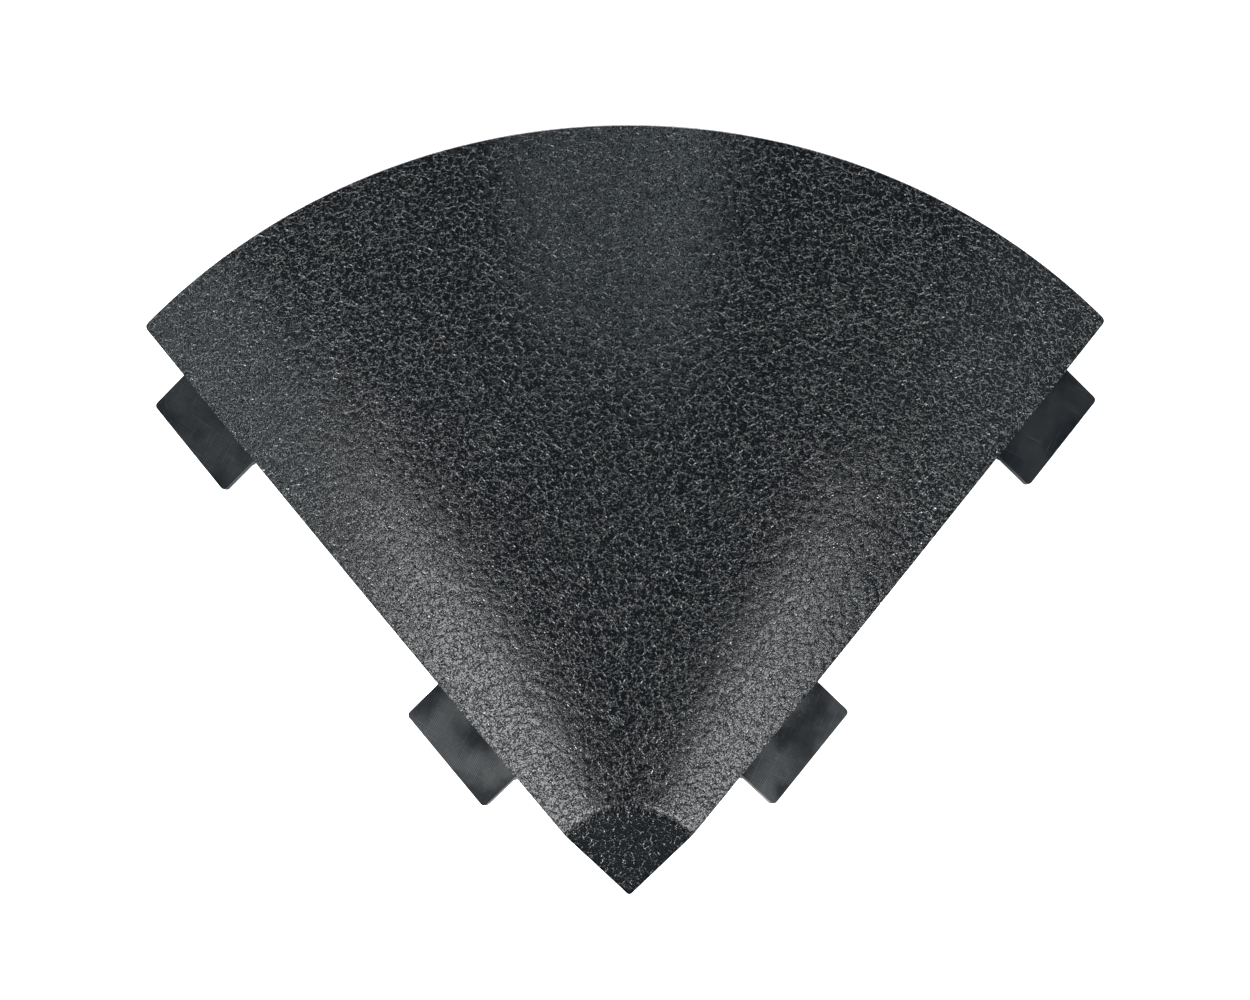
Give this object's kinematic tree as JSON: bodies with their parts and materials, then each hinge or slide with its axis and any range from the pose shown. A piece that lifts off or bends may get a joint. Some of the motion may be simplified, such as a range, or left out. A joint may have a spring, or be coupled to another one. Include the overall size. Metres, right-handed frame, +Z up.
{
  "type": "ramp corner section",
  "caption": "Quarter-round plastic ramp corner with a textured conical face, a flat landing at the corner, ribs under the skin and joining tabs on both straight edges.",
  "frame": {"origin": "on the floor, under the right-angled corner (the apex) of the quarter round", "axes": "+Z up; +Y along the bisector, from the apex to the middle of the curved toe; +X to the right seen from the apex, so the straight edges run 45 degrees either side of +Y"},
  "size_m": [0.4294, 0.3043, 0.1524],
  "materials": {
    "textured_skin": "black sheet with a pebbled leather grain, semi-gloss",
    "smooth_tab": "smooth black sheet, satin, fine scuffs",
    "rib_sheet": "smooth black sheet, sawn edges",
    "adhesive": "cured dark grey adhesive",
    "foot_rubber": "matt black rubber",
    "post_tube": "drawn black tube"
  },
  "bodies": {
    "root": {"ramp_skin": "textured_skin", "tab_left_upper": "smooth_tab", "bond_pad_left_upper": "adhesive", "tab_left_lower": "smooth_tab", "bond_pad_left_lower": "adhesive", "tab_right_upper": "smooth_tab", "bond_pad_right_upper": "adhesive", "tab_right_lower": "smooth_tab", "bond_pad_right_lower": "adhesive", "side_rib_left": "rib_sheet", "side_rib_right": "rib_sheet", "centre_rib": "rib_sheet", "diagonal_rib_left": "rib_sheet", "diagonal_rib_right": "rib_sheet", "arc_rib_inner": "rib_sheet", "arc_rib_outer": "rib_sheet", "side_foot_left": "foot_rubber", "side_foot_right": "foot_rubber", "diagonal_foot_left": "foot_rubber", "diagonal_foot_right": "foot_rubber", "centre_foot": "foot_rubber", "toe_strip": "foot_rubber", "post_foot": "foot_rubber", "corner_post": "post_tube"}
  },
  "joints": []
}
